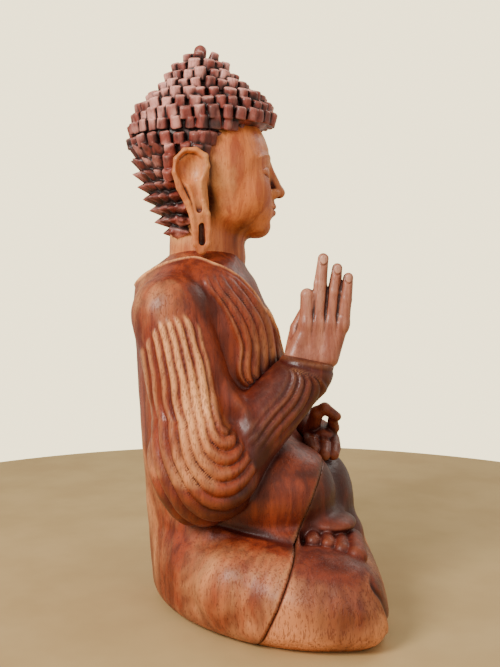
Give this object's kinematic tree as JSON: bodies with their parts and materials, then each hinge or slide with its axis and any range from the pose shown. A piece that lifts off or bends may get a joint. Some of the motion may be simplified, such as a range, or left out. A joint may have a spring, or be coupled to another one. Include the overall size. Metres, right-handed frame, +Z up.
{
  "type": "buddha statue",
  "caption": "Seated teaching figure carved in hardwood, with curled hair, draped robe, crossed legs and one raised hand, built from glued and pegged blocks.",
  "frame": {"origin": "on the floor, at the middle of the figure's box", "axes": "+Z up, the figure faces -Y, its left side is +X"},
  "size_m": [0.376, 0.268, 0.6],
  "materials": {
    "trunk_wood": "waxed",
    "lap_wood": "waxed",
    "hand_wood": "waxed",
    "knob_wood": "waxed",
    "peg_wood": "plain"
  },
  "bodies": {
    "root": {"trunk_block": "trunk_wood", "lap_block": "lap_wood", "right_hand": "hand_wood", "left_hand": "lap_wood", "crown_knob": "knob_wood", "seam_pegs": "peg_wood"}
  },
  "joints": []
}
